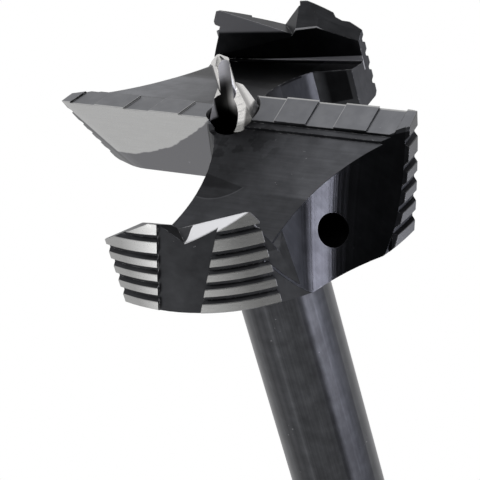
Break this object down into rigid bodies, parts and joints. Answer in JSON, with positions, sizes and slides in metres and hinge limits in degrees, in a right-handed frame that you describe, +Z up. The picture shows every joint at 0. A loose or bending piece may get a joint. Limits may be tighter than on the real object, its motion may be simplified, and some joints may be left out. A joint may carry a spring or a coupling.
{
  "type": "forstner bit",
  "caption": "Saw-tooth forstner bit with milled wings, a ribbed saw-tooth rim, a ground brad centre point and a round shank.",
  "frame": {"origin": "middle of the bounding box of the body and its point, on the surface the bit lies on", "axes": "+X along the length from the head to the end of the shank, +Z up from the surface it lies on"},
  "size_m": [0.0886, 0.0366, 0.0396],
  "materials": {
    "dark_steel": "dark oxide, ground bright at the edges",
    "bright_steel": "ground",
    "screw_steel": "dark oxide"
  },
  "bodies": {
    "root": {"bit_body": "dark_steel", "centre_point": "bright_steel", "set_screw": "screw_steel"}
  },
  "joints": []
}
